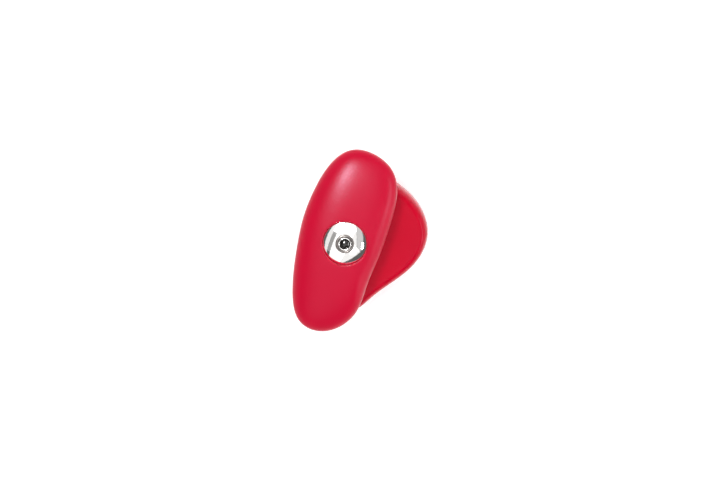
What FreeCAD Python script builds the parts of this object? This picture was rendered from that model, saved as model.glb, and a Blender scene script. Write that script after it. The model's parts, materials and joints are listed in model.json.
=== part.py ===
"""Compact twist can opener: oval knob, eccentric clamp, feed wheel and side-cutting wheel.

Millimetres. The origin is on the drive shaft's axis in the resting plane. +Z runs up the
shaft to the knob, +X points to the nose of the body, +Y along the body's long side.
"""
import FreeCAD, Part
import math
import os

Vector = FreeCAD.Vector

# Fits and walls
RUN_FIT = 0.06            # radial clearance of a turning fit
SEAT_FIT = 0.15           # gap around a piece that is laid or pressed into a pocket
AIR = 0.3                 # gap between moving faces that do not bear on each other
WALL = 2.4                # moulded wall

# Heights above the resting plane
PAD_T = 1.0
SEAM_Z = 12.0             # underside of the chassis plate, where a can's rim stops
PLATE_T = 2.0
BODY_TOP_Z = 38.5
KNOB_LIFT = 1.5           # air between the body's top and the knob
KNOB_DROP = 13.0          # widest level of the knob down to its underside
KNOB_RISE = 10.6          # widest level of the knob up to its crown

# Body outline: control points of a closed uniform cubic spline at the widest level,
# the +Y half only, from the nose to the back; the other half is its mirror image
BODY_NOSE = (47.9, 0.0)
BODY_BACK = (-26.0, 0.0)
BODY_FLANK = ((40.8, 16.8), (28.5, 26.8), (13.8, 36.5), (3.2, 48.8), (-12.9, 27.2), (-18.7, 17.7))
BODY_WIDE_Z = 23.0        # height of the widest level
BODY_FLARE = 3.8          # draw-in at the foot
SHOULDER = 5.2            # draw-in at the edge of the top
SHOULDER_P = 3.4          # higher keeps the side upright for longer
FLARE_SHARES = (1.0, 0.78, 0.48, 0.0)           # levels of the side below the widest one
SHOULDER_SHARES = (0.45, 0.72, 0.9, 0.98, 1.0)   # levels above it
TOP_DISH = 0.6            # depth of the shallow dish in the body's top
TOP_DISH_R = 30.0         # radius at which the dish runs out

# Knob outline, same kind of spline, long side along +Y before the knob is parked
KNOB_POLES = ((20.6, -1.5), (20.3, 14.8), (19.9, 33.9), (11.1, 47.5), (-10.9, 51.0),
              (-21.1, 37.3), (-24.5, 18.7), (-25.5, 3.3), (-22.7, -16.5), (-20.2, -30.4),
              (-12.9, -52.6), (6.6, -53.6), (20.0, -37.4), (18.1, -19.3))
KNOB_PARK = -18.0         # degrees about +Z at rest
CROWN_SCALES = (0.985, 0.95, 0.89, 0.80, 0.68, 0.53, 0.36)
CROWN_P = 2.6             # exponents of the crown: rise = (1 - scale^P)^(1/Q)
CROWN_Q = 2.2
SKIRT_ROWS = ((1.0, 0.90), (0.88, 0.935), (0.6, 0.968), (0.3, 0.992))   # share of drop, scale

# Drive shaft, eccentric bush and feed wheel
SHAFT_R = 3.5
SHAFT_END_R = 3.0
SHAFT_FLAT = 2.3          # half width across the two flats of the shaft's ends
SHAFT_FLANGE_R = 4.4
ECCENTRICITY = 2.5
BUSH_R = 9.0
BUSH_FLANGE_W = 3.2       # flange beyond the bush
BUSH_FLANGE_T = 2.0
CLAMP_SWEEP = 120.0       # degrees the bush can turn
STOP_PIN_R = 1.3
FEED_R = 6.2
FEED_T = 4.2
FEED_TEETH = 24
FEED_TOOTH = 0.7

# Cutter
CUTTER_R = 9.0
CUTTER_T = 2.0
NIP = 0.5                 # gap between the feed wheel and the cutter when clamped
AXLE_R = 2.6
SPACER_R = 4.2

# Recess that leaves room for the can
CAN_R = 54.0
CAN_WALL_X = 9.2          # where the recess crosses the X axis

# Hub
HUB_R = 11.8
HUB_RISE = 2.3
HUB_EDGE_T = 0.8
EYELET_R = 4.95
EYELET_BORE = 2.75
PLUG_RISE = 1.2
BARREL_R = 3.5

# Fasteners
SCREW_R = 1.5
HEAD_R = 2.9
HEAD_T = 1.8
BOSS_R = 4.2
BACK_SCREW_TURN = 125.0   # degrees from +X around the bush's axis
FRONT_SCREWS = (25.0, 13.0)
BASE_SCREWS = ((35.0, 0.0), (5.5, 33.5), (5.5, -33.5))
KNOB_SCREWS = ((8.0, 34.0), (-11.0, 35.0), (8.5, -37.0), (-8.0, -38.5))

# Levels that follow
PLATE_TOP_Z = SEAM_Z + PLATE_T
FLOOR_Z = PAD_T + 2.0
CUT_X = FEED_R + NIP + CUTTER_R
ECC_X = -ECCENTRICITY
BUSH_TOP_Z = BODY_TOP_Z + 0.6
KNOB_Z0 = BODY_TOP_Z + KNOB_LIFT
KNOB_MID_Z = KNOB_Z0 + KNOB_DROP
BOSS_TOP_Z = KNOB_MID_Z + 2.0
HUB_SEAT_Z = KNOB_MID_Z + 7.6
CAP_TOP_Z = HUB_SEAT_Z + HUB_EDGE_T + HUB_RISE
BEAD_SEAT_Z = CAP_TOP_Z - 0.3
HOUSING_R = BUSH_R + RUN_FIT + WALL
BUSH_FLANGE_R = BUSH_R + BUSH_FLANGE_W
CHASSIS_BOSS_R = BOSS_R - 1.0
BACK_SCREW_R = BUSH_FLANGE_R + CHASSIS_BOSS_R + 1.1
BACK_SCREW_X = ECC_X + BACK_SCREW_R * math.cos(math.radians(BACK_SCREW_TURN))
BACK_SCREW_Y = BACK_SCREW_R * math.sin(math.radians(BACK_SCREW_TURN))
CHASSIS_SCREWS = [(x, side * y) for x, y in ((BACK_SCREW_X, BACK_SCREW_Y), FRONT_SCREWS)
                  for side in (1, -1)]
FEED_TOP_Z = SEAM_Z - AIR
SHAFT_SHELF_Z = FEED_TOP_Z - FEED_T
CUTTER_TOP_Z = SEAM_Z - 1.4
AXLE_HEAD_T = 1.1
POCKET_R = CUTTER_R + 1.0
POCKET_Z = CUTTER_TOP_Z - CUTTER_T - AXLE_HEAD_T - 0.6
CAN_X = CAN_WALL_X - CAN_R


def cylinder(x, y, radius, z0, z1):
    return Part.makeCylinder(radius, z1 - z0, Vector(x, y, z0))


def ring(x, y, outer, inner, z0, z1):
    return cylinder(x, y, outer, z0, z1).cut(cylinder(x, y, inner, z0, z1))


def slab(z0, z1, x0=-100.0, x1=100.0):
    """Box across the whole object between two heights."""
    return Part.makeBox(x1 - x0, 200.0, z1 - z0, Vector(x0, -100.0, z0))


def prism(points, z0, z1):
    wire = Part.makePolygon([Vector(x, y, z0) for x, y in points] + [Vector(*points[0], z0)])
    return Part.Face(wire).extrude(Vector(0, 0, z1 - z0))


def hexagon(x, y, across_flats, z0, z1):
    corner = across_flats / math.sqrt(3.0)
    turns = [math.radians(60 * i) for i in range(6)]
    return prism([(x + corner * math.cos(a), y + corner * math.sin(a)) for a in turns], z0, z1)


def turned(points):
    """Solid of revolution about the Z axis from (radius, height) points."""
    wire = Part.makePolygon([Vector(r, 0, z) for r, z in points + points[:1]])
    return Part.Face(wire).revolve(Vector(0, 0, 0), Vector(0, 0, 1), 360)


def two_flats(radius, half_width, z0, z1):
    flats = Part.makeBox(2 * half_width, 4 * radius, z1 - z0, Vector(-half_width, -2 * radius, z0))
    return cylinder(0, 0, radius, z0, z1).common(flats)


def fuse_all(shape, others):
    for other in others:
        shape = shape.fuse(other)
    return shape.removeSplitter()


def cut_all(shape, others):
    for other in others:
        shape = shape.cut(other)
    return shape


def outline(poles, z, scale=1.0, inset=0.0):
    """Closed cubic spline; inset moves every control point along its inward normal."""
    count = len(poles)
    points = []
    for i, (x, y) in enumerate(poles):
        x0, y0 = poles[i - 1]
        x1, y1 = poles[(i + 1) % count]
        chord = math.hypot(x1 - x0, y1 - y0)
        points.append(Vector(scale * x - inset * (y1 - y0) / chord,
                             scale * y + inset * (x1 - x0) / chord, z))
    curve = Part.BSplineCurve()
    curve.buildFromPolesMultsKnots(points, [1] * (count + 1), list(range(count + 1)), True, 3)
    return Part.Wire(curve.toShape())


def body_poles():
    mirror = [(x, -y) for x, y in reversed(BODY_FLANK)]
    return [BODY_NOSE, *BODY_FLANK, BODY_BACK, *mirror]


def flare(share):
    """Draw-in below the widest level, by the share of the way down to the foot."""
    return BODY_FLARE * share ** 1.6


def shoulder(share):
    """Draw-in above the widest level, by the share of the way up to the top."""
    return SHOULDER * (1.0 - math.sqrt(1.0 - share ** SHOULDER_P))


def body_solid(inset=0.0):
    """Outer form of the body, or with an inset the form of its cavity."""
    squash = (BODY_TOP_Z - inset) / BODY_TOP_Z
    rows = [(BODY_WIDE_Z * (1.0 - share), flare(share)) for share in FLARE_SHARES]
    rise = BODY_TOP_Z - BODY_WIDE_Z
    rows += [(BODY_WIDE_Z + rise * share, shoulder(share)) for share in SHOULDER_SHARES]
    wires = [outline(body_poles(), z * squash, inset=drawn + inset) for z, drawn in rows]
    return Part.makeLoft(wires, True, False)


def body_slice(inset, z0, z1):
    """Straight slice with the body's outline, drawn in by the inset."""
    wire = outline(body_poles(), z0, inset=inset)
    return Part.Face(wire).extrude(Vector(0, 0, z1 - z0))


def knob_solid(inset=0.0):
    """Outer form of the knob, or with an inset the form of its cavity."""
    low = (KNOB_DROP - inset) / KNOB_DROP
    high = (KNOB_RISE - inset) / KNOB_RISE
    rows = [(KNOB_MID_Z - KNOB_DROP * share * low, scale) for share, scale in SKIRT_ROWS]
    rows.append((KNOB_MID_Z, 1.0))
    for scale in CROWN_SCALES:
        rise = (1.0 - scale ** CROWN_P) ** (1.0 / CROWN_Q)
        rows.append((KNOB_MID_Z + KNOB_RISE * rise * high, scale))
    return Part.makeLoft([outline(KNOB_POLES, z, scale, inset) for z, scale in rows], True, False)


def parked(shape):
    """Turns a piece of the knob to its rest position."""
    return shape.rotated(Vector(0, 0, 0), Vector(0, 0, 1), KNOB_PARK)


def screw(x, y, head_z, tip_z):
    """Pan-head screw pointing up, hexagon socket in the head's underside."""
    shape = cylinder(x, y, HEAD_R, head_z, head_z + HEAD_T)
    shape = shape.fuse(cylinder(x, y, SCREW_R, head_z + HEAD_T, tip_z))
    return shape.cut(hexagon(x, y, 2.5, head_z, head_z + 1.1))


def body_cover():
    shell = body_solid().common(slab(SEAM_Z, BODY_TOP_Z + 1))
    dish_r = TOP_DISH_R ** 2 / (2 * TOP_DISH)
    dish = Part.makeSphere(dish_r, Vector(8, 0, BODY_TOP_Z + dish_r - TOP_DISH))
    shell = shell.cut(dish)
    cavity = body_solid(WALL).common(slab(SEAM_Z, BODY_TOP_Z + 1))
    housing = cylinder(ECC_X, 0, HOUSING_R, PLATE_TOP_Z + BUSH_FLANGE_T + 2 * AIR, BODY_TOP_Z)
    bosses = [cylinder(x, y, CHASSIS_BOSS_R, PLATE_TOP_Z, BODY_TOP_Z) for x, y in CHASSIS_SCREWS]
    bosses += [cylinder(x, y, BOSS_R - 0.4, PLATE_TOP_Z, BODY_TOP_Z) for x, y in BASE_SCREWS]
    kept = [piece.common(cavity) for piece in [housing, *bosses]]
    shell = fuse_all(shell.cut(cavity), kept)
    holes = [cylinder(ECC_X, 0, BUSH_R + RUN_FIT, SEAM_Z, BODY_TOP_Z + 1)]
    holes += [cylinder(x, y, SCREW_R, SEAM_Z, PLATE_TOP_Z + 10) for x, y in CHASSIS_SCREWS]
    holes += [cylinder(x, y, SCREW_R, SEAM_Z, PLATE_TOP_Z + 12) for x, y in BASE_SCREWS]
    return cut_all(shell, holes)


def can_space(radius, z0, z1):
    return cylinder(CAN_X, 0, radius, z0, z1)


def body_base():
    """Crescent-shaped foot that hugs the can's side and holds the cutter's pocket."""
    block = body_solid().common(slab(PAD_T, SEAM_Z)).cut(can_space(CAN_R, 0, SEAM_Z))
    cavity = body_solid(WALL).common(slab(FLOOR_Z, SEAM_Z))
    cavity = cavity.cut(can_space(CAN_R + WALL, 0, SEAM_Z))
    bosses = [cylinder(x, y, BOSS_R, FLOOR_Z, SEAM_Z) for x, y in BASE_SCREWS]
    bosses.append(cylinder(CUT_X, 0, POCKET_R + WALL, FLOOR_Z, SEAM_Z))
    shape = block.cut(cut_all(cavity, bosses))
    holes = [cylinder(CUT_X, 0, POCKET_R, POCKET_Z, SEAM_Z)]
    for x, y in BASE_SCREWS:
        holes.append(cylinder(x, y, HEAD_R + SEAT_FIT, PAD_T, PAD_T + 0.8 + HEAD_T))
        holes.append(cylinder(x, y, SCREW_R + SEAT_FIT, PAD_T, SEAM_Z))
    return cut_all(shape, holes)


def base_pad():
    pad = body_slice(BODY_FLARE + 1.2, 0, PAD_T).cut(can_space(CAN_R + 1.2, 0, PAD_T))
    return cut_all(pad, [cylinder(x, y, HEAD_R + 0.6, 0, PAD_T) for x, y in BASE_SCREWS])


def chassis_plate():
    drawn = flare(1.0 - SEAM_Z / BODY_WIDE_Z) + WALL + 2 * SEAT_FIT
    plate = body_slice(drawn, SEAM_Z, PLATE_TOP_Z).common(slab(SEAM_Z, PLATE_TOP_Z, -100, 30))
    holes = [cylinder(ECC_X, 0, BUSH_R + RUN_FIT, SEAM_Z, PLATE_TOP_Z),
             cylinder(CUT_X, 0, AXLE_R - 0.5, SEAM_Z, PLATE_TOP_Z),
             cylinder(ECC_X - stop_radius(), 0, STOP_PIN_R, SEAM_Z, PLATE_TOP_Z)]
    for x, y in CHASSIS_SCREWS:
        holes.append(countersink(x, y, SEAT_FIT))
        holes.append(cylinder(x, y, SCREW_R + SEAT_FIT, SEAM_Z, PLATE_TOP_Z))
    holes += [cylinder(x, y, SCREW_R + 0.3, SEAM_Z, PLATE_TOP_Z) for x, y in BASE_SCREWS]
    return cut_all(plate, holes)


def countersink(x, y, clearance):
    return Part.makeCone(HEAD_R + clearance, SCREW_R, HEAD_R - SCREW_R + clearance,
                         Vector(x, y, SEAM_Z))


def chassis_screws():
    screws = []
    for x, y in CHASSIS_SCREWS:
        shape = countersink(x, y, 0).fuse(cylinder(x, y, SCREW_R, SEAM_Z + 1, PLATE_TOP_Z + 9))
        screws.append(shape.cut(hexagon(x, y, 2.0, SEAM_Z, SEAM_Z + 0.9)))
    return Part.Compound(screws)


def base_screws():
    head_z = PAD_T + 0.8
    return Part.Compound([screw(x, y, head_z, PLATE_TOP_Z + 11) for x, y in BASE_SCREWS])


def stop_radius():
    """Distance of the stop pin from the bush's axis."""
    return (BUSH_R + BUSH_FLANGE_R) / 2 + 0.35


def stop_pin():
    top = PLATE_TOP_Z + AIR + BUSH_FLANGE_T
    return cylinder(ECC_X - stop_radius(), 0, STOP_PIN_R, SEAM_Z, top)


def cutter_axle():
    head_z = CUTTER_TOP_Z - CUTTER_T - AXLE_HEAD_T
    shape = cylinder(CUT_X, 0, SPACER_R, head_z, head_z + AXLE_HEAD_T - 0.1)
    shape = shape.fuse(cylinder(CUT_X, 0, AXLE_R, head_z, SEAM_Z))
    shape = shape.fuse(cylinder(CUT_X, 0, AXLE_R - 0.5, SEAM_Z, PLATE_TOP_Z))
    return shape.fuse(cylinder(CUT_X, 0, SPACER_R - 0.4, PLATE_TOP_Z, PLATE_TOP_Z + 1.2))


def cutter_spacer():
    return ring(CUT_X, 0, SPACER_R, AXLE_R, CUTTER_TOP_Z + 0.1, SEAM_Z)


def cutter_wheel():
    """Disc ground from both faces to a keen rim."""
    low = CUTTER_TOP_Z - CUTTER_T
    mid = low + 0.45 * CUTTER_T
    bore = AXLE_R + RUN_FIT
    shape = turned([(bore, low), (CUTTER_R - 2.2, low), (CUTTER_R, mid), (CUTTER_R, mid + 0.15),
                    (CUTTER_R - 2.2, CUTTER_TOP_Z), (bore, CUTTER_TOP_Z)])
    return shape.translated(Vector(CUT_X, 0, 0))


def eccentric_bush():
    """Bush turning in the body; the shaft runs in its off-centre bore."""
    flange_z = PLATE_TOP_Z + AIR
    shape = cylinder(ECC_X, 0, BUSH_R, SEAM_Z, BUSH_TOP_Z)
    shape = shape.fuse(cylinder(ECC_X, 0, BUSH_FLANGE_R, flange_z, flange_z + BUSH_FLANGE_T))
    shape = shape.cut(cylinder(0, 0, SHAFT_R + RUN_FIT, SEAM_Z, BUSH_TOP_Z))
    groove_z = (PLATE_TOP_Z + BODY_TOP_Z) / 2
    groove = ring(ECC_X, 0, BUSH_R + 1, BUSH_R - 1.6, groove_z - 0.9, groove_z + 0.9)
    return shape.cut(groove).cut(stop_notch(flange_z))


def stop_notch(flange_z):
    """Sector cut in the bush's flange; its ends meet the stop pin."""
    margin = math.degrees(math.asin(STOP_PIN_R / stop_radius())) + 0.6
    sector = Part.makeCylinder(BUSH_FLANGE_R + 1, BUSH_FLANGE_T, Vector(0, 0, flange_z),
                               Vector(0, 0, 1), CLAMP_SWEEP + 2 * margin)
    sector = sector.cut(cylinder(0, 0, BUSH_R, flange_z, flange_z + BUSH_FLANGE_T))
    sector.rotate(Vector(0, 0, 0), Vector(0, 0, 1), 180 - CLAMP_SWEEP - margin)
    return sector.translated(Vector(ECC_X, 0, 0))


def friction_ring():
    groove_z = (PLATE_TOP_Z + BODY_TOP_Z) / 2
    return Part.makeTorus(BUSH_R - 0.8, 0.8, Vector(ECC_X, 0, groove_z))


def drive_shaft():
    shape = cylinder(0, 0, SHAFT_FLANGE_R, SHAFT_SHELF_Z - 1.0, SHAFT_SHELF_Z)
    shape = shape.fuse(two_flats(SHAFT_END_R, SHAFT_FLAT, SHAFT_SHELF_Z, SEAM_Z - AIR))
    shape = shape.fuse(cylinder(0, 0, SHAFT_R, SEAM_Z - AIR, KNOB_Z0))
    shape = shape.fuse(two_flats(SHAFT_END_R, SHAFT_FLAT, KNOB_Z0, BOSS_TOP_Z))
    shape = shape.fuse(cylinder(0, 0, SHAFT_FLAT, BOSS_TOP_Z, HUB_SEAT_Z - AIR))
    return parked(shape)


def feed_wheel():
    """Serrated wheel that draws the can's rim along."""
    points = []
    for i in range(2 * FEED_TEETH):
        radius = FEED_R - FEED_TOOTH * (i % 2)
        angle = math.pi * i / FEED_TEETH
        points.append((radius * math.cos(angle), radius * math.sin(angle)))
    shape = prism(points, SHAFT_SHELF_Z, FEED_TOP_Z)
    return parked(shape.cut(two_flats(SHAFT_END_R, SHAFT_FLAT, SHAFT_SHELF_Z, FEED_TOP_Z)))


def thrust_washer():
    return ring(0, 0, SHAFT_R + 4.0, SHAFT_R, KNOB_Z0 - 0.8, KNOB_Z0)


def nut_washer():
    return parked(ring(0, 0, 5.5, SHAFT_FLAT, BOSS_TOP_Z, BOSS_TOP_Z + 0.7))


def shaft_nut():
    low = BOSS_TOP_Z + 0.7
    shape = hexagon(0, 0, 8.0, low, low + 2.6).cut(cylinder(0, 0, SHAFT_FLAT, low, low + 2.6))
    return parked(shape)


def knob_cover():
    outer = knob_solid().common(slab(KNOB_MID_Z, KNOB_MID_Z + KNOB_RISE + 1))
    cavity = knob_solid(WALL).common(slab(KNOB_MID_Z, KNOB_MID_Z + KNOB_RISE))
    centre = cylinder(0, 0, HUB_R + SEAT_FIT + WALL, BOSS_TOP_Z, KNOB_MID_Z + KNOB_RISE)
    posts = [cylinder(x, y, BOSS_R - 0.8, KNOB_MID_Z, KNOB_MID_Z + KNOB_RISE)
             for x, y in KNOB_SCREWS]
    kept = [piece.common(cavity) for piece in [centre, *posts]]
    shell = fuse_all(outer.cut(cavity), kept)
    holes = [cylinder(0, 0, HUB_R + SEAT_FIT, HUB_SEAT_Z, KNOB_MID_Z + KNOB_RISE + 1),
             cylinder(0, 0, 6.6, BOSS_TOP_Z, HUB_SEAT_Z)]
    holes += [cylinder(x, y, SCREW_R, KNOB_MID_Z, KNOB_MID_Z + 3.5) for x, y in KNOB_SCREWS]
    return parked(cut_all(shell, holes))


def knob_base():
    outer = knob_solid().common(slab(KNOB_Z0, KNOB_MID_Z))
    cavity = knob_solid(WALL).common(slab(KNOB_Z0, KNOB_MID_Z))
    posts = [cylinder(x, y, BOSS_R, KNOB_Z0, KNOB_MID_Z) for x, y in KNOB_SCREWS]
    posts = [piece.common(cavity) for piece in posts]
    centre = cylinder(0, 0, 8.5, KNOB_Z0 + WALL / 2, BOSS_TOP_Z)
    shape = fuse_all(outer.cut(cavity), [centre, *posts])
    holes = [two_flats(SHAFT_END_R, SHAFT_FLAT, KNOB_Z0, BOSS_TOP_Z)]
    for x, y in KNOB_SCREWS:
        holes.append(cylinder(x, y, HEAD_R + SEAT_FIT, KNOB_Z0, KNOB_Z0 + 1.2 + HEAD_T))
        holes.append(cylinder(x, y, SCREW_R + SEAT_FIT, KNOB_Z0, KNOB_MID_Z))
    return parked(cut_all(shape, holes))


def knob_screws():
    tip = KNOB_MID_Z + 3.2
    return parked(Part.Compound([screw(x, y, KNOB_Z0 + 1.2, tip) for x, y in KNOB_SCREWS]))


def dome(radius, foot_z, rise):
    """Spherical cap standing on a disc of the given radius."""
    sphere_r = (radius ** 2 + rise ** 2) / (2 * rise)
    ball = Part.makeSphere(sphere_r, Vector(0, 0, foot_z + rise - sphere_r))
    return ball.common(cylinder(0, 0, radius, foot_z, foot_z + rise + 1))


def hub_cap():
    """Domed steel disc with a flat seat and a hole for the eyelet."""
    shape = cylinder(0, 0, HUB_R, HUB_SEAT_Z, HUB_SEAT_Z + HUB_EDGE_T)
    shape = shape.fuse(dome(HUB_R, HUB_SEAT_Z + HUB_EDGE_T, HUB_RISE))
    shape = shape.cut(dome(HUB_R - 1.0, HUB_SEAT_Z, HUB_RISE))
    shape = shape.cut(cylinder(0, 0, EYELET_R + 0.05, BEAD_SEAT_Z, CAP_TOP_Z + 1))
    return shape.cut(cylinder(0, 0, BARREL_R, HUB_SEAT_Z, CAP_TOP_Z + 1))


def hub_eyelet():
    """Clinched eyelet: rounded bead on top, thin lip around the plug."""
    bead_r = (EYELET_R - EYELET_BORE - 0.5) / 2
    bead = Part.makeTorus(EYELET_R - bead_r, bead_r, Vector(0, 0, BEAD_SEAT_Z + 0.3))
    bead = bead.common(slab(BEAD_SEAT_Z, BEAD_SEAT_Z + 3))
    low = HUB_SEAT_Z + HUB_RISE - 1.2
    barrel = cylinder(0, 0, BARREL_R, low, BEAD_SEAT_Z + 0.7)
    clinch = cylinder(0, 0, BARREL_R + 0.9, low, low + 0.7)
    shape = bead.fuse(barrel).fuse(clinch)
    return shape.cut(cylinder(0, 0, EYELET_BORE, low, BEAD_SEAT_Z + 3))


def hub_plug():
    low = HUB_SEAT_Z + HUB_RISE - 1.0
    top = BEAD_SEAT_Z + 0.3
    return cylinder(0, 0, EYELET_BORE, low, top).fuse(dome(EYELET_BORE, top, PLUG_RISE))


PIECES = {
    "body_cover": body_cover, "body_base": body_base, "base_pad": base_pad,
    "chassis_plate": chassis_plate, "chassis_screws": chassis_screws,
    "base_screws": base_screws, "stop_pin": stop_pin, "cutter_axle": cutter_axle,
    "cutter_spacer": cutter_spacer, "cutter_wheel": cutter_wheel,
    "eccentric_bush": eccentric_bush, "friction_ring": friction_ring,
    "drive_shaft": drive_shaft, "feed_wheel": feed_wheel, "thrust_washer": thrust_washer,
    "nut_washer": nut_washer, "shaft_nut": shaft_nut, "knob_cover": knob_cover,
    "knob_base": knob_base, "knob_screws": knob_screws, "hub_cap": hub_cap,
    "hub_eyelet": hub_eyelet, "hub_plug": hub_plug,
}

os.makedirs("parts", exist_ok=True)
for node, make in PIECES.items():
    make().exportStep("parts/" + node + ".step")
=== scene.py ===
"""Compact twist can opener: the looks of its knob, hub, body, wheels and studio."""
import json
import math

import bmesh
import bpy
import numpy as np
from bpy.props import FloatProperty, FloatVectorProperty, PointerProperty
from mathutils import Matrix, Vector

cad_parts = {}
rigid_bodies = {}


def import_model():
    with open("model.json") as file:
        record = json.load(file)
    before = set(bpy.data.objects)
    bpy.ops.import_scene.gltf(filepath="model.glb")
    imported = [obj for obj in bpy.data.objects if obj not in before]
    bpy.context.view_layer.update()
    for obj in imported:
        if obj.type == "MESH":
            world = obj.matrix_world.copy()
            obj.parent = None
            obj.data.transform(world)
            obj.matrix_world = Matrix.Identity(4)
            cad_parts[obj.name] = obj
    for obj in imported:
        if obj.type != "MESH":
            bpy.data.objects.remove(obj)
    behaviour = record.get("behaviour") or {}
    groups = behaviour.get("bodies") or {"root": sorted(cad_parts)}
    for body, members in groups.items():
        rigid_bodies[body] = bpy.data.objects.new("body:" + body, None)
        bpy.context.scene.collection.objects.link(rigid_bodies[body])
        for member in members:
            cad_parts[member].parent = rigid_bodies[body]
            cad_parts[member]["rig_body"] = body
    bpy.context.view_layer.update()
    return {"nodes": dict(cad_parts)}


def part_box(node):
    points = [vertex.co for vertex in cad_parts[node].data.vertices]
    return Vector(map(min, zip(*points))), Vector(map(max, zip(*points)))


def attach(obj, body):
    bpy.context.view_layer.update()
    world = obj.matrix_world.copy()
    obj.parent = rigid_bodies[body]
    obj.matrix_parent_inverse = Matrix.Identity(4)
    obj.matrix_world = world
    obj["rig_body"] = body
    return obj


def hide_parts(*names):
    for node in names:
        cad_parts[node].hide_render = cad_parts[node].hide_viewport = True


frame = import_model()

bl_info = {
    "name": "Twist can opener",
    "version": (1, 0, 0),
    "blender": (4, 5, 0),
    "location": "3D View > Sidebar > Can opener",
    "description": "Builds a compact twist can opener and its studio",
    "category": "Add Mesh",
}

TURN = 2 * math.pi
MM = 0.001

# Control points of the closed outlines, in metres, anticlockwise
KNOB_POLES = MM * np.array([
    (20.6, -1.5), (20.3, 14.8), (19.9, 33.9), (11.1, 47.5), (-10.9, 51.0), (-21.1, 37.3),
    (-24.5, 18.7), (-25.5, 3.3), (-22.7, -16.5), (-20.2, -30.4), (-12.9, -52.6), (6.6, -53.6),
    (20.0, -37.4), (18.1, -19.3)])
BODY_POLES = MM * np.array([
    (47.9, 0.0), (40.8, 16.8), (28.5, 26.8), (13.8, 36.5), (3.2, 48.8), (-12.9, 27.2),
    (-18.7, 17.7), (-26.0, 0.0), (-18.7, -17.7), (-12.9, -27.2), (3.2, -48.8), (13.8, -36.5),
    (28.5, -26.8), (40.8, -16.8)])


def linear(code):
    """Turns an sRGB hex colour into linear red, green and blue."""
    srgb = np.array([int(code[i:i + 2], 16) for i in (1, 3, 5)]) / 255
    low = srgb / 12.92
    high = ((srgb + 0.055) / 1.055) ** 2.4
    return tuple(float(v) for v in np.where(srgb <= 0.04045, low, high))


def length(label, words, value):
    """A size in metres for the sidebar."""
    return FloatProperty(name=label, description=words, default=value, unit="LENGTH",
                         subtype="DISTANCE", precision=5)


def colour(label, words, code):
    """A colour for the sidebar, given as sRGB hex."""
    return FloatVectorProperty(name=label, description=words, default=linear(code), size=3,
                               subtype="COLOR", min=0.0, max=1.0)


class OpenerSizes(bpy.types.PropertyGroup):
    """Sizes of the pieces, as the solids have them."""
    knob_mid: length("Knob parting height", "Height of the knob's widest level", 0.053)
    knob_rise: length("Knob crown", "From the widest level up to the crown", 0.0106)
    knob_drop: length("Knob skirt", "From the widest level down to the underside", 0.013)
    knob_park: FloatProperty(name="Knob rest angle", description="Turn of the knob at rest",
                             default=math.radians(-18), subtype="ANGLE")
    crown_p: FloatProperty(name="Crown spread", description="Higher is flatter on top",
                           default=2.6)
    crown_q: FloatProperty(name="Crown roundness", description="Higher is squarer at the edge",
                           default=2.2)
    skirt_draw: FloatProperty(name="Skirt draw-in", description="Share lost at the underside",
                              default=0.10, subtype="FACTOR")
    wall: length("Moulded wall", "Wall thickness of the shells", 0.0024)
    seam: length("Parting gap", "Width of the line between two shells", 0.00025)
    body_top: length("Body top height", "Height of the body's top", 0.0385)
    body_wide: length("Body widest height", "Height of the body's widest level", 0.023)
    body_flare: length("Body flare", "Draw-in at the foot", 0.0038)
    shoulder: length("Shoulder reach", "Draw-in at the top edge", 0.0052)
    top_dish: length("Top dish", "Depth of the hollow in the top", 0.0006)
    bush: length("Bush radius", "Outside radius of the eccentric bush", 0.009)
    eccentricity: length("Eccentricity", "Distance from the bush's axis to the shaft", 0.0025)
    hub: length("Hub radius", "Radius of the domed steel disc", 0.0118)
    eyelet: length("Eyelet radius", "Outside radius of the eyelet's bead", 0.00495)
    plug: length("Plug radius", "Radius of the black plug", 0.00275)


class OpenerColours(bpy.types.PropertyGroup):
    """Colours of the finishes."""
    knob: colour("Knob red", "Soft-touch moulding of the knob", "#C8032F")
    body: colour("Body red", "Satin moulding of the body", "#C50428")
    pad: colour("Pad grey", "Rubber pad under the foot", "#3A3B3D")
    steel: colour("Polished steel", "Hub disc and eyelet", "#E9E7E5")
    eyelet: colour("Tumbled steel", "Eyelet", "#65615F")
    sheet: colour("Sheet steel", "Chassis plate", "#B9B9B8")
    ground: colour("Ground steel", "Wheels and shaft", "#A9A8A6")
    zinc: colour("Zinc", "Screws, nut and washers", "#BFC1C4")
    bush: colour("Bush grey", "Moulded bush", "#63666A")
    plug: colour("Plug black", "Glossy plug", "#14110F")
    floor: colour("Floor", "Studio floor", "#EFEFEF")


# ---------------------------------------------------------------- numbers into shapes

def closed_spline(poles, at):
    """Closed uniform cubic B-spline: the four poles around a parameter, each weighted by
    (1-f)^3, 3f^3-6f^2+4, -3f^3+3f^2+3f+1 and f^3, over 6."""
    whole = np.floor(at).astype(int)
    f = (at - whole)[:, None]
    weights = ((1 - f) ** 3, 3 * f ** 3 - 6 * f ** 2 + 4, -3 * f ** 3 + 3 * f ** 2 + 3 * f + 1,
               f ** 3)
    return sum(w * poles[(whole + k) % len(poles)] for k, w in enumerate(weights)) / 6


def inward(poles):
    """Unit step towards the inside at every pole: the chord of its neighbours turned left."""
    chord = np.roll(poles, -1, axis=0) - np.roll(poles, 1, axis=0)
    chord /= np.linalg.norm(chord, axis=1, keepdims=True)
    return np.stack([-chord[:, 1], chord[:, 0]], axis=1)


def around(poles, count):
    """Outline points and their inward steps, evenly spaced in length along the outline."""
    fine = np.linspace(0, len(poles), 20 * count + 1)
    run = np.linalg.norm(np.diff(closed_spline(poles, fine), axis=0), axis=1)
    run = np.concatenate([[0], np.cumsum(run)])
    at = np.interp(np.arange(count) * run[-1] / count, run, fine)
    return closed_spline(poles, at), closed_spline(inward(poles), at)


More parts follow.
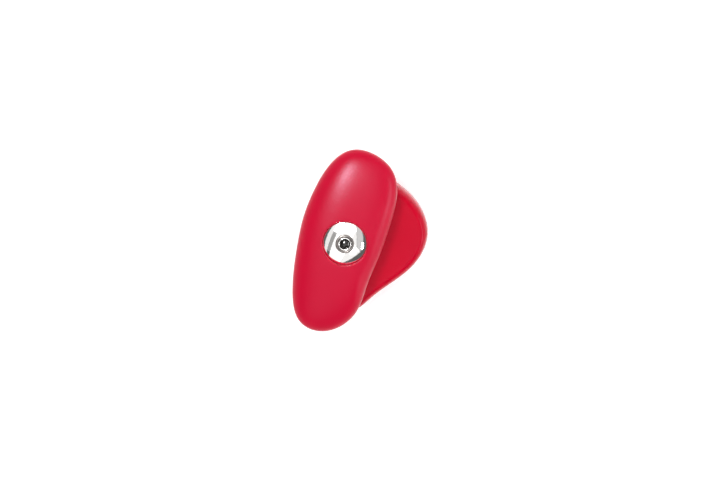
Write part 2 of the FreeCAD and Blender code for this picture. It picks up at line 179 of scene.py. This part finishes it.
def circle(points, radius, centre=(0.0, 0.0)):
    """Each outline point slid along its ray from the centre onto a circle."""
    ray = points - np.array(centre)
    return np.array(centre) + radius * ray / np.linalg.norm(ray, axis=1, keepdims=True)


def level(points, height):
    """Points (x, y) lifted to a height, which may differ from point to point."""
    return np.column_stack([points, np.broadcast_to(height, len(points))])


def superellipse(share, p, q):
    """(1 - share^p)^(1/q), the height left at a share of the way out."""
    return (1 - np.clip(share, 0, 1) ** p) ** (1 / q)


def rounded(corners, steps=5):
    """Closed profile from (radius, height, round) corners: each corner becomes a parabola
    tangent to its two sides, starting one round length away from the corner."""
    given = np.array(corners, float)
    spots, rounds = given[:, :2], given[:, 2]
    profile = []
    for i, corner in enumerate(spots):
        if rounds[i] == 0:
            profile.append(corner[None])
            continue
        back, ahead = spots[i - 1] - corner, spots[(i + 1) % len(spots)] - corner
        start = corner + back * min(rounds[i] / np.linalg.norm(back), 0.5)
        end = corner + ahead * min(rounds[i] / np.linalg.norm(ahead), 0.5)
        f = np.linspace(0, 1, steps + 1)[:, None]
        profile.append((1 - f) ** 2 * start + 2 * f * (1 - f) * corner + f ** 2 * end)
    return np.concatenate(profile)


def turned(profile, count=96, centre=(0.0, 0.0)):
    """Surface of revolution: (r cos a, r sin a, z) for every profile point and angle a."""
    a = np.arange(count) * TURN / count
    r, z = profile[:, 0, None], profile[:, 1, None]
    return np.stack([centre[0] + r * np.cos(a), centre[1] + r * np.sin(a),
                     np.broadcast_to(z, (len(profile), count))], axis=-1)


def turn_about_z(grid, angle):
    """Grid turned by an angle about the vertical axis."""
    c, s = math.cos(angle), math.sin(angle)
    return grid @ np.array([[c, s, 0], [-s, c, 0], [0, 0, 1]])


def grid_quads(rows, columns):
    """Corner numbers of a grid's faces; rows and columns both close on themselves."""
    i, j = np.meshgrid(np.arange(rows), np.arange(columns), indexing="ij")
    k, m = (i + 1) % rows, (j + 1) % columns
    corners = [i * columns + j, k * columns + j, k * columns + m, i * columns + m]
    return np.stack(corners, axis=-1).reshape(-1, 4)


def enclosed(points, quads):
    """Signed volume inside the faces, from the triple products of their two triangles."""
    a, b, c, d = (points[quads[:, k]] for k in range(4))
    first = np.einsum("ij,ij->i", a, np.cross(b, c))
    return (first + np.einsum("ij,ij->i", a, np.cross(c, d))).sum() / 6


def surface(name, grids):
    """One mesh object from closed grids of points, faces outwards."""
    points, faces, first = [], [], 0
    for grid in grids:
        spots = grid.reshape(-1, 3)
        quads = grid_quads(*grid.shape[:2])
        if enclosed(spots, quads) < 0:
            quads = quads[:, ::-1]
        points.append(spots)
        faces.append(quads + first)
        first += len(spots)
    mesh = bpy.data.meshes.new(name)
    mesh.from_pydata(np.concatenate(points), [], np.concatenate(faces))
    mesh.validate()
    return bpy.data.objects.new(name, mesh)


def finish_piece(piece, nodes, material, sharp=35.0):
    """Welds a new piece, smooths it up to the sharp angle, and ties it to what it stands for."""
    bpy.context.scene.collection.objects.link(piece)
    weld(piece.data)
    piece.data.shade_smooth()
    piece.data.set_sharp_from_angle(angle=math.radians(sharp))
    piece.data.materials.append(material)
    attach(piece, frame["nodes"][nodes[0]]["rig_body"])
    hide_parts(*nodes)
    return piece


def weld(mesh):
    """Joins corners that lie on each other."""
    work = bmesh.new()
    work.from_mesh(mesh)
    bmesh.ops.remove_doubles(work, verts=work.verts, dist=1e-6)
    work.to_mesh(mesh)
    work.free()


def smooth_copy(node, name, material, sharp=30.0):
    """Copy of a solid's own mesh, welded and smoothed, in place of the loose triangles."""
    piece = frame["nodes"][node].copy()
    piece.data = frame["nodes"][node].data.copy()
    piece.name = name
    piece.parent = None
    piece.data.materials.clear()
    for key in list(piece.keys()):
        del piece[key]
    return finish_piece(piece, [node], material, sharp)


# ---------------------------------------------------------------- finishes

def add(tree, kind, settings=None, links=None):
    """Adds a node, sets its properties or sockets, and links its inputs to given sockets."""
    node = tree.nodes.new(kind)
    for key, value in (settings or {}).items():
        if hasattr(node, key):
            setattr(node, key, value)
        else:
            node.inputs[key].default_value = value
    for key, source in (links or {}).items():
        tree.links.new(source, node.inputs[key])
    return node


def blank(name):
    """New material with an output, and object coordinates in metres."""
    material = bpy.data.materials.new(name)
    material.use_nodes = True
    tree = material.node_tree
    tree.nodes.clear()
    place = add(tree, "ShaderNodeTexCoord").outputs["Object"]
    return material, tree, place


def output(tree, shader):
    """Ends a material in its shader."""
    add(tree, "ShaderNodeOutputMaterial", links={"Surface": shader.outputs["BSDF"]})


def moulded(name, rgb, rough, grain_mm, grain_depth, sheen, gleam=0.16):
    """Injection-moulded thermoplastic with a spark-eroded tool texture: satin, saturated,
    a fine even grain and a faint drift of gloss over the larger faces. A real grain is about
    0.2 mm; it is drawn coarser, so that it still shows from a hand's distance."""
    drift_mm = 30
    material, tree, place = blank(name)
    grain = add(tree, "ShaderNodeTexNoise", {"Scale": 1000 / grain_mm, "Detail": 2.0,
                                             "Roughness": 0.6}, {"Vector": place})
    drift = add(tree, "ShaderNodeTexNoise", {"Scale": 1000 / drift_mm, "Detail": 2.0},
                {"Vector": place})
    gloss = add(tree, "ShaderNodeMapRange", {"To Min": rough - 0.03, "To Max": rough + 0.03},
                {"Value": drift.outputs["Fac"]})
    speck = add(tree, "ShaderNodeMapRange", {"To Min": -0.06, "To Max": 0.06},
                {"Value": grain.outputs["Fac"]})
    mixed = add(tree, "ShaderNodeMath", {"operation": "ADD"})
    tree.links.new(gloss.outputs["Result"], mixed.inputs[0])
    tree.links.new(speck.outputs["Result"], mixed.inputs[1])
    shade = add(tree, "ShaderNodeMixRGB", {"blend_type": "MIX", "Color1": (*rgb, 1),
                                           "Color2": (*(0.92 * v for v in rgb), 1)},
                {"Fac": drift.outputs["Fac"]})
    bump = add(tree, "ShaderNodeBump", {"Strength": 0.35, "Distance": grain_depth * MM},
               {"Height": grain.outputs["Fac"]})
    shader = add(tree, "ShaderNodeBsdfPrincipled",
                 {"IOR": 1.46, "Specular IOR Level": gleam, "Sheen Weight": sheen,
                  "Sheen Roughness": 0.45, "Sheen Tint": (1.0, 0.75, 0.8, 1.0),
                  "Specular Tint": (0.8, 0.8, 1.0, 1.0)},
                 {"Base Color": shade.outputs["Color"], "Roughness": mixed.outputs["Value"],
                  "Normal": bump.outputs["Normal"]})
    output(tree, shader)
    return material


def polished_steel(name, rgb, rough=0.045):
    """Buffed stainless steel: near mirror, with circular buffing lines, which are drawn
    coarser than the real ones of under 0.1 mm."""
    line_mm = 0.9
    material, tree, place = blank(name)
    wave = add(tree, "ShaderNodeTexWave", {"wave_type": "RINGS", "rings_direction": "Z",
                                           "Scale": 1000 / line_mm, "Distortion": 1.5,
                                           "Detail": 2.0}, {"Vector": place})
    haze = add(tree, "ShaderNodeMapRange", {"To Min": rough - 0.015, "To Max": rough + 0.02},
               {"Value": wave.outputs["Fac"]})
    bump = add(tree, "ShaderNodeBump", {"Strength": 0.04, "Distance": 0.01 * MM},
               {"Height": wave.outputs["Fac"]})
    shader = add(tree, "ShaderNodeBsdfPrincipled", {"Base Color": (*rgb, 1), "Metallic": 1.0},
                 {"Roughness": haze.outputs["Result"], "Normal": bump.outputs["Normal"]})
    output(tree, shader)
    return material


def worked_steel(name, rgb, rough, stretch, line_mm):
    """Brushed, ground or turned steel: satin lines drawn out along one direction, coarser
    than the real ones of about 0.1 mm."""
    material, tree, place = blank(name)
    drawn = add(tree, "ShaderNodeMapping", {"Scale": stretch}, {"Vector": place})
    lines = add(tree, "ShaderNodeTexNoise", {"Scale": 1000 / line_mm, "Detail": 4.0,
                                             "Roughness": 0.65},
                {"Vector": drawn.outputs["Vector"]})
    haze = add(tree, "ShaderNodeMapRange", {"To Min": rough - 0.08, "To Max": rough + 0.10},
               {"Value": lines.outputs["Fac"]})
    shade = add(tree, "ShaderNodeMixRGB", {"Color1": (*(0.85 * v for v in rgb), 1),
                                           "Color2": (*rgb, 1)},
                {"Fac": lines.outputs["Fac"]})
    bump = add(tree, "ShaderNodeBump", {"Strength": 0.15, "Distance": 0.02 * MM},
               {"Height": lines.outputs["Fac"]})
    shader = add(tree, "ShaderNodeBsdfPrincipled", {"Metallic": 1.0},
                 {"Base Color": shade.outputs["Color"], "Roughness": haze.outputs["Result"],
                  "Normal": bump.outputs["Normal"]})
    output(tree, shader)
    return material


def glossy_black(name, rgb):
    """High-gloss black cap: smooth, with a very slight orange peel."""
    peel_mm = 1.5
    material, tree, place = blank(name)
    peel = add(tree, "ShaderNodeTexNoise", {"Scale": 1000 / peel_mm, "Detail": 1.0},
               {"Vector": place})
    bump = add(tree, "ShaderNodeBump", {"Strength": 0.08, "Distance": 0.02 * MM},
               {"Height": peel.outputs["Fac"]})
    shader = add(tree, "ShaderNodeBsdfPrincipled",
                 {"Base Color": (*rgb, 1), "Roughness": 0.12, "IOR": 1.5},
                 {"Normal": bump.outputs["Normal"]})
    output(tree, shader)
    return material


def plain_floor(name, rgb):
    """White sweep lit from under, so that hardly any shadow is left on it."""
    material, tree, _ = blank(name)
    shader = add(tree, "ShaderNodeBsdfPrincipled",
                 {"Base Color": (*rgb, 1), "Roughness": 0.8, "Specular IOR Level": 0.1,
                  "Emission Color": (1, 1, 1, 1), "Emission Strength": 0.42})
    output(tree, shader)
    return material


def finish(key):
    """The finish of one kind, made once and then shared. After the name, maker and colour,
    mouldings give roughness, grain in mm, grain depth in mm, sheen and gleam; worked steels
    give roughness, the stretch of their lines and the lines' pitch in mm."""
    tints = bpy.context.scene.opener_colours
    kinds = {
        "knob": ("soft_touch_moulded_red", moulded, tints.knob, 0.33, 0.9, 0.18, 0.1),
        "body": ("satin_moulded_red", moulded, tints.body, 0.20, 0.9, 0.02, 0.0, 0.10),
        "bush": ("moulded_acetal_grey", moulded, tints.bush, 0.42, 0.4, 0.02, 0.0),
        "pad": ("moulded_rubber_grey", moulded, tints.pad, 0.75, 0.5, 0.08, 0.1),
        "hub": ("buffed_stainless_steel", polished_steel, tints.steel),
        "eyelet": ("tumbled_steel", worked_steel, tints.eyelet, 0.36, (1, 1, 1), 0.3),
        "plate": ("brushed_sheet_steel", worked_steel, tints.sheet, 0.32, (1, 0.03, 1), 0.6),
        "ground": ("ground_tool_steel", worked_steel, tints.ground, 0.28, (1, 1, 0.05), 0.4),
        "zinc": ("zinc_plated_steel", worked_steel, tints.zinc, 0.35, (1, 1, 1), 0.8),
        "plug": ("high_gloss_black", glossy_black, tints.plug),
        "floor": ("matt_paper_floor", plain_floor, tints.floor),
    }
    name, maker, tint, *settings = kinds[key]
    return bpy.data.materials.get(name) or maker(name, tuple(tint), *settings)


# ---------------------------------------------------------------- knob

def crown(outline, ease, sizes, inset, angle):
    """Crown of the knob at a profile angle: the outline scaled by cos^(2/p) at the height
    rise * sin^(2/q), drawn in by the inset; angle may differ from point to point."""
    angle = np.broadcast_to(angle, len(outline))
    scale = np.cos(angle) ** (2 / sizes.crown_p)
    rise = sizes.knob_rise - inset
    height = sizes.knob_mid + rise * np.sin(angle) ** (2 / sizes.crown_q)
    return level(outline * scale[:, None] + inset * ease, height)


def crown_angle(outline, radius, sizes):
    """Profile angle at which the crown passes over a circle of the given radius."""
    share = radius / np.linalg.norm(outline, axis=1)
    return np.arccos(share ** (sizes.crown_p / 2))


def knob_cover_grid(sizes):
    """Closed shell, row by row: parting edge, crown, counterbore, boss and cavity. The
    counterbore's edge is a quarter round of radius e, at bore + e (1 - sin a) and
    lip - e (1 - cos a)."""
    outline, ease = around(KNOB_POLES, 320)
    bore = sizes.hub + 0.15 * MM
    edge = 0.5 * MM
    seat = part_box("hub_cap")[0][2]
    nut_room = 6.6 * MM
    boss = bore + sizes.wall
    boss_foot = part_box("knob_base")[1][2]
    rim = crown_angle(outline, bore + edge, sizes)
    rows = [level(outline * (1 - 0.004) + 0.0001 * ease, sizes.knob_mid),
            level(outline * (1 - 0.0005), sizes.knob_mid + 0.15 * MM)]
    rows += [crown(outline, ease, sizes, 0.0, rim * s) for s in np.linspace(0.04, 1, 60)]
    lip = rows[-1][:, 2]
    for a in np.linspace(0.15, 1, 6) * TURN / 4:
        rows.append(level(circle(outline, bore + edge * (1 - math.sin(a))),
                          lip - edge * (1 - math.cos(a))))
    rows += [level(circle(outline, bore), seat), level(circle(outline, nut_room), seat),
             level(circle(outline, nut_room), boss_foot), level(circle(outline, boss), boss_foot)]
    inner = crown_angle(outline, boss + sizes.wall + 1.0 * MM, sizes)
    roof = crown(outline, ease, sizes, sizes.wall, inner)
    rows.append(level(circle(outline, boss), roof[:, 2]))
    rows += [crown(outline, ease, sizes, sizes.wall, inner * s) for s in np.linspace(1, 0, 12)]
    return np.stack(rows)


def skirt(outline, ease, sizes, inset, share):
    """Skirt of the knob: at a share v of the drop the outline is scaled by
    1 - draw * (1 - (1 - v^2)^(1/1.4)), drawn in by the inset."""
    scale = 1 - sizes.skirt_draw * (1 - superellipse(share, 2.0, 1.4))
    height = sizes.knob_mid - (sizes.knob_drop - inset) * share
    return level(outline * scale + inset * ease, height)


def knob_base_grid(sizes):
    """Closed shell, row by row: parting edge, skirt, underside, bore, boss, cavity and a
    tongue that stands behind the parting line and keeps light out."""
    outline, ease = around(KNOB_POLES, 320)
    low, high = (corner[2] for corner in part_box("knob_base"))
    floor = low + sizes.wall
    parting = sizes.knob_mid - sizes.seam
    ring, bore, boss = 9.0 * MM, 3.1 * MM, 8.5 * MM
    rows = [level(outline * (1 - 0.004) + 0.0001 * ease, parting),
            level(outline * (1 - 0.0005), parting - 0.15 * MM)]
    rows += [skirt(outline, ease, sizes, 0.0, s)
             for s in np.sin(np.linspace(0.06, 1, 24) * TURN / 4)]
    under = rows[-1][:, :2]
    rows += [level(under + 0.3 * MM * ease, low), level(circle(outline, ring), low),
             level(circle(outline, bore), low), level(circle(outline, bore), high),
             level(circle(outline, boss), high), level(circle(outline, boss), floor)]
    rows += [skirt(outline, ease, sizes, sizes.wall, s) for s in np.linspace(1, 0.12, 8)]
    tongue_out = outline + (sizes.wall + 0.25 * MM) * ease
    tongue_in = outline + (sizes.wall + 0.85 * MM) * ease
    rows += [level(tongue_in, sizes.knob_mid - 1.2 * MM),
             level(tongue_in, sizes.knob_mid + 0.8 * MM),
             level(tongue_out, sizes.knob_mid + 0.8 * MM),
             level(tongue_out, parting)]
    return np.stack(rows)


class OPENER_OT_knob(bpy.types.Operator):
    """Upper and lower shell of the oval knob"""
    bl_idname = "opener.knob"
    bl_label = "Knob"

    def execute(self, context):
        sizes = context.scene.opener_sizes
        for node, grid in (("knob_cover", knob_cover_grid(sizes)),
                           ("knob_base", knob_base_grid(sizes))):
            piece = surface(node + "_skin", [turn_about_z(grid, sizes.knob_park)])
            finish_piece(piece, [node], finish("knob"))
        return {"FINISHED"}


# ---------------------------------------------------------------- hub

def dome_profile(radius, foot, rise, count=24):
    """Arc of the circle through (radius, foot) that crests on the axis at foot + rise."""
    ball = (radius ** 2 + rise ** 2) / (2 * rise)
    r = radius * np.linspace(1, 0, count)
    return np.column_stack([r, foot + rise - ball + np.sqrt(ball ** 2 - r ** 2)])


def hub_disc_grid(sizes):
    """Domed disc with a rounded rim and a hole, its arc and a copy of it 0.9 mm lower turned
    about the axis."""
    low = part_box("hub_cap")[0][2]
    hole, edge, rise, sheet = 3.5 * MM, 0.8 * MM, 2.3 * MM, 0.9 * MM
    arc = dome_profile(sizes.hub, low + edge, rise, 40)
    arc = arc[arc[:, 0] > hole]
    under = arc[::-1] - np.array([0, sheet])
    rim = rounded([(sizes.hub - 0.6 * MM, low, 0), (sizes.hub, low, 0.2 * MM),
                   (sizes.hub, low + edge, 1.0 * MM), (*arc[4], 0)], 8)
    return turned(np.concatenate([rim, arc[5:], under[:-5]]), 160)


def eyelet_grid(sizes):
    """Bead, groove and thin lip turned about the axis."""
    low, high = (corner[2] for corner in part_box("hub_eyelet"))
    seat = high - 1.15 * MM
    out, bore = sizes.eyelet, sizes.plug
    profile = rounded([
        (bore + 0.02 * MM, low, 0.1 * MM), (bore + 0.9 * MM, low, 0.1 * MM),
        (bore + 0.9 * MM, seat - 0.3 * MM, 0), (out, seat - 0.1 * MM, 0.1 * MM),
        (out, seat + 0.9 * MM, 0.75 * MM), (bore + 1.35 * MM, high, 0.6 * MM),
        (bore + 0.75 * MM, seat + 0.45 * MM, 0.25 * MM),
        (bore + 0.45 * MM, seat + 0.62 * MM, 0.12 * MM),
        (bore + 0.05 * MM, seat + 0.62 * MM, 0.18 * MM)])
    return turned(profile)


def lip_grid(sizes):
    """Thin rolled lip around the plug: (r + t cos b, z + t sin b) turned about the axis."""
    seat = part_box("hub_eyelet")[1][2] - 0.62 * MM
    b = np.arange(16) * TURN / 16
    middle, thick = sizes.plug + 0.36 * MM, 0.33 * MM
    return turned(np.column_stack([middle + thick * np.cos(b), seat + thick * np.sin(b)]))


def plug_grid(sizes):
    """Cylinder under a dome, turned about the axis."""
    low, high = (corner[2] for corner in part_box("hub_plug"))
    radius, rise = sizes.plug - 0.03 * MM, 1.2 * MM
    arc = dome_profile(radius, high - rise, rise, 16)
    profile = np.concatenate([[(0, low), (radius, low)], arc])
    return turned(profile, 64)


class OPENER_OT_hub(bpy.types.Operator):
    """Domed steel disc, eyelet and black plug in the middle of the knob"""
    bl_idname = "opener.hub"
    bl_label = "Hub"

    def execute(self, context):
        plan = (("hub_disc", hub_disc_grid, "hub_cap", "hub_steel", "hub"),
                ("eyelet_ring", eyelet_grid, "hub_eyelet", "hub_steel", "eyelet"),
                ("eyelet_lip", lip_grid, "hub_eyelet", "hub_steel", "hub"),
                ("plug_dome", plug_grid, "hub_plug", "plug_black", "plug"))
        for name, shape, node, slot, key in plan:
            piece = surface(name, [shape(context.scene.opener_sizes)])
            finish_piece(piece, [node], finish(key))
        return {"FINISHED"}


# ---------------------------------------------------------------- body

def body_draw(sizes, height):
    """Draw-in of the body's side: flare * ((wide - z) / wide)^1.6 below the widest level,
    shoulder * (1 - (1 - u^3.4)^(1/2)) above it, u the share of the way up to the top."""
    below = np.clip((sizes.body_wide - height) / sizes.body_wide, 0, 1) ** 1.6
    above = np.clip((height - sizes.body_wide) / (sizes.body_top - sizes.body_wide), 0, 1)
    return sizes.body_flare * below + sizes.shoulder * (1 - superellipse(above, 3.4, 2.0))


def dished(sizes, rows):
    """Soft minimum of the surface and the shallow dish around (8 mm, 0), 30 mm in radius."""
    reach = np.linalg.norm(rows[..., :2] - np.array([8 * MM, 0]), axis=-1) / (30 * MM)
    dish = sizes.body_top - sizes.top_dish * (1 - reach ** 2)
    k = 0.15 * MM
    rows[..., 2] = -k * np.logaddexp(-rows[..., 2] / k, -dish / k)
    return rows


def body_cover_grid(sizes):
    """Closed shell, row by row: lower edge, side, shoulder, top, bush bore and cavity."""
    outline, ease = around(BODY_POLES, 360)
    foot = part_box("body_cover")[0][2] + sizes.seam
    bore = sizes.bush + 0.06 * MM
    centre = (-sizes.eccentricity, 0.0)
    low_edge = outline + ease * (body_draw(sizes, foot) + 0.25 * MM)
    rows = [level(low_edge, foot)]
    heights = np.concatenate([
        np.linspace(foot + 0.25 * MM, sizes.body_wide, 10)[:-1],
        sizes.body_wide + (sizes.body_top - sizes.body_wide)
        * np.sin(np.linspace(0, TURN / 4, 44))])
    side = [level(outline + ease * body_draw(sizes, z), z) for z in heights]
    top_edge = side[-1][:, :2]
    rim = circle(outline, bore + 0.4 * MM, centre)
    top = [level(top_edge + (rim - top_edge) * s, sizes.body_top)
           for s in np.linspace(0, 1, 16)[1:]]
    rows += list(dished(sizes, np.stack(side + top)))
    lip = rows[-1][:, 2]
    rows += [level(circle(outline, bore + 0.12 * MM, centre), lip - 0.12 * MM),
             level(circle(outline, bore, centre), lip - 0.4 * MM)]
    housing_foot = 16.6 * MM
    roof = sizes.body_top - sizes.wall
    rows += [level(circle(outline, bore, centre), housing_foot),
             level(circle(outline, bore + sizes.wall, centre), housing_foot),
             level(circle(outline, bore + sizes.wall, centre), roof)]
    squash = roof / sizes.body_top
    rows += [level(outline + ease * (body_draw(sizes, z) + sizes.wall), z * squash)
             for z in np.linspace(sizes.body_top, foot / squash, 12)]
    return np.stack(rows)


class OPENER_OT_body(bpy.types.Operator):
    """Red cover of the body under the knob"""
    bl_idname = "opener.body"
    bl_label = "Body cover"

    def execute(self, context):
        sizes = context.scene.opener_sizes
        piece = surface("body_cover_skin", [body_cover_grid(sizes)])
        finish_piece(piece, ["body_cover"], finish("body"))
        return {"FINISHED"}


class OPENER_OT_foot(bpy.types.Operator):
    """Crescent foot beside the can, and its pad"""
    bl_idname = "opener.foot"
    bl_label = "Foot"

    def execute(self, context):
        smooth_copy("body_base", "foot_shell", finish("body"), 14.0)
        smooth_copy("base_pad", "foot_pad", finish("pad"))
        return {"FINISHED"}


class OPENER_OT_works(bpy.types.Operator):
    """Plate, bush, shaft, wheels and fasteners"""
    bl_idname = "opener.works"
    bl_label = "Works"

    def execute(self, context):
        plan = (
            ("chassis_plate", "plate_steel", "plate"), ("eccentric_bush", "bush_grey", "bush"),
            ("thrust_washer", "bush_grey", "bush"), ("drive_shaft", "shaft_steel", "ground"),
            ("feed_wheel", "wheel_steel", "ground"), ("cutter_wheel", "wheel_steel", "ground"),
            ("cutter_axle", "shaft_steel", "ground"), ("cutter_spacer", "shaft_steel", "zinc"),
            ("stop_pin", "shaft_steel", "ground"), ("chassis_screws", "screw_steel", "zinc"),
            ("base_screws", "screw_steel", "zinc"), ("knob_screws", "screw_steel", "zinc"),
            ("shaft_nut", "screw_steel", "zinc"), ("nut_washer", "shaft_steel", "zinc"),
            ("friction_ring", "ring_black", "pad"),
        )
        for node, slot, key in plan:
            smooth_copy(node, node + "_part", finish(key))
        return {"FINISHED"}


# ---------------------------------------------------------------- studio

def soft_box(name, place, along, size, glow, aim=None, gloss=False):
    """Rectangular area light at a place, facing down or towards a point, its long side laid
    along a direction; glow is how bright its face looks, with 1 the white of paper, and its
    power is pi * area * glow. A gloss box shows only as a reflection."""
    lamp = bpy.data.lights.new(name, "AREA")
    lamp.shape = "RECTANGLE"
    lamp.size, lamp.size_y = size
    lamp.energy = math.pi * size[0] * size[1] * glow
    holder = bpy.data.objects.new(name, lamp)
    holder.visible_diffuse = not gloss
    back = (Vector(place) - Vector(aim)).normalized() if aim else Vector((0, 0, 1))
    side = Vector(along).cross(back).normalized()
    turn = Matrix((side, back.cross(side), back)).transposed().to_4x4()
    holder.matrix_world = Matrix.Translation(place) @ turn
    bpy.context.scene.collection.objects.link(holder)


def sweep(name, reach=2.6, bend=0.4, top=1.0, count=96):
    """Round studio sweep: a level disc, a quarter-round bend at its edge and an upright wall.
    It lies 0.2 mm under the rest plane, so that the two planes don't flicker."""
    bent = np.linspace(0, TURN / 4, 13)
    radius = np.append(reach + bend * np.sin(bent), reach + bend)
    height = np.append(bend * (1 - np.cos(bent)), top) - 0.2 * MM
    points = turned(np.column_stack([radius, height]), count).reshape(-1, 3)
    faces = [tuple(range(count))]
    for row in range(len(radius) - 1):
        for i in range(count):
            j = (i + 1) % count
            faces.append((row * count + i, (row + 1) * count + i,
                          (row + 1) * count + j, row * count + j))
    mesh = bpy.data.meshes.new(name)
    mesh.from_pydata(points, [], faces)
    mesh.polygons.foreach_set("use_smooth", [True] * len(faces))
    return bpy.data.objects.new(name, mesh)


class OPENER_OT_stage(bpy.types.Operator):
    """Floor, soft lights and camera"""
    bl_idname = "opener.stage"
    bl_label = "Stage"

    def execute(self, context):
        scene = context.scene
        floor = sweep("studio_floor")
        floor.data.materials.append(finish("floor"))
        scene.collection.objects.link(floor)

        world = bpy.data.worlds.new("studio_air")
        world.use_nodes = True
        air = world.node_tree.nodes["Background"].inputs
        air["Color"].default_value = (1, 1, 1, 1)
        air["Strength"].default_value = 0.14
        scene.world = world

        hub = (0.0, 0.0, 0.0625)
        slant, forward = (0.40, 0.92, 0), (0, 1, 0)
        soft_box("overhead_box", (-0.154, -0.206, 1.15), slant, (0.62, 2.6), 1.12)
        soft_box("inner_box", (0.335, -0.15, 1.155), forward, (0.27, 1.2), 1.0)
        soft_box("fill_box", (0.0, -0.727, 1.16), (0.775, 0.632, 0), (0.8, 1.15), 1.0)
        soft_box("key_box", (-0.22, 0.5, 1.13), (0.15, 0.5, 0), (0.2, 0.46), 19.0)
        soft_box("gleam_box", (-0.22, 0.48, 1.12), (0.2, 0.5, 0), (0.22, 0.5), 95.0, gloss=True)
        soft_box("top_box", (0.26, 0.70, 1.17), forward, (0.44, 0.9), 1.3)
        soft_box("corner_box", (0.85, 1.0, 1.17), forward, (0.6, 0.6), 2.4)
        soft_box("left_box", (-0.80, -0.20, 1.15), slant, (0.21, 2.1), 0.9)
        soft_box("haze_box", (-0.43, 0.06, 1.18), slant, (0.32, 1.6), 0.28)
        soft_box("right_box", (0.64, 0.0, 1.15), forward, (0.32, 1.2), 0.62)
        soft_box("edge_box", (0.76, -0.37, 1.14), forward, (0.08, 0.3), 16.0, gloss=True)
        soft_box("low_box", (1.3, -0.1, 0.72), forward, (0.1, 1.1), 30.0, hub, gloss=True)
        soft_box("side_box", (1.2, -0.5, 0.45), (0, 0, 1), (0.7, 0.6), 2.0, hub)

        # nearly straight down, from a little towards +Y, the hub just left of the middle
        tilt = math.radians(11)
        distance, view_width = 0.70, 0.37944
        right = Vector((1, 0, 0))
        up = Vector((0, math.cos(tilt), -math.sin(tilt)))
        back = right.cross(up)
        middle = Vector(hub) + 8.01 * MM * right + 1.9 * MM * up
        lens = bpy.data.cameras.new("camera")
        lens.sensor_width = 36.0
        lens.lens = lens.sensor_width * distance / view_width
        camera = bpy.data.objects.new("camera", lens)
        turn = Matrix((right, up, back)).transposed().to_4x4()
        camera.matrix_world = Matrix.Translation(middle + back * distance) @ turn
        scene.collection.objects.link(camera)
        scene.camera = camera
        scene.view_settings.view_transform = "Standard"
        return {"FINISHED"}


class OPENER_PT_panel(bpy.types.Panel):
    """Sidebar list of the opener's pieces"""
    bl_idname = "OPENER_PT_panel"
    bl_label = "Can opener"
    bl_space_type = "VIEW_3D"
    bl_region_type = "UI"
    bl_category = "Can opener"

    def draw(self, context):
        layout = self.layout
        for group in (context.scene.opener_sizes, context.scene.opener_colours):
            for key in group.bl_rna.properties.keys():
                if key not in ("rna_type", "name"):
                    layout.prop(group, key)
        for maker in MAKERS:
            layout.operator(maker.bl_idname)


MAKERS = (OPENER_OT_knob, OPENER_OT_hub, OPENER_OT_body, OPENER_OT_foot, OPENER_OT_works,
          OPENER_OT_stage)
CLASSES = (OpenerSizes, OpenerColours, *MAKERS, OPENER_PT_panel)


def register():
    for item in CLASSES:
        bpy.utils.register_class(item)
    bpy.types.Scene.opener_sizes = PointerProperty(type=OpenerSizes)
    bpy.types.Scene.opener_colours = PointerProperty(type=OpenerColours)


def unregister():
    del bpy.types.Scene.opener_colours
    del bpy.types.Scene.opener_sizes
    for item in reversed(CLASSES):
        bpy.utils.unregister_class(item)


def main():
    register()
    bpy.ops.opener.knob()
    bpy.ops.opener.hub()
    bpy.ops.opener.body()
    bpy.ops.opener.foot()
    bpy.ops.opener.works()
    bpy.ops.opener.stage()


if __name__ == "__main__":
    main()
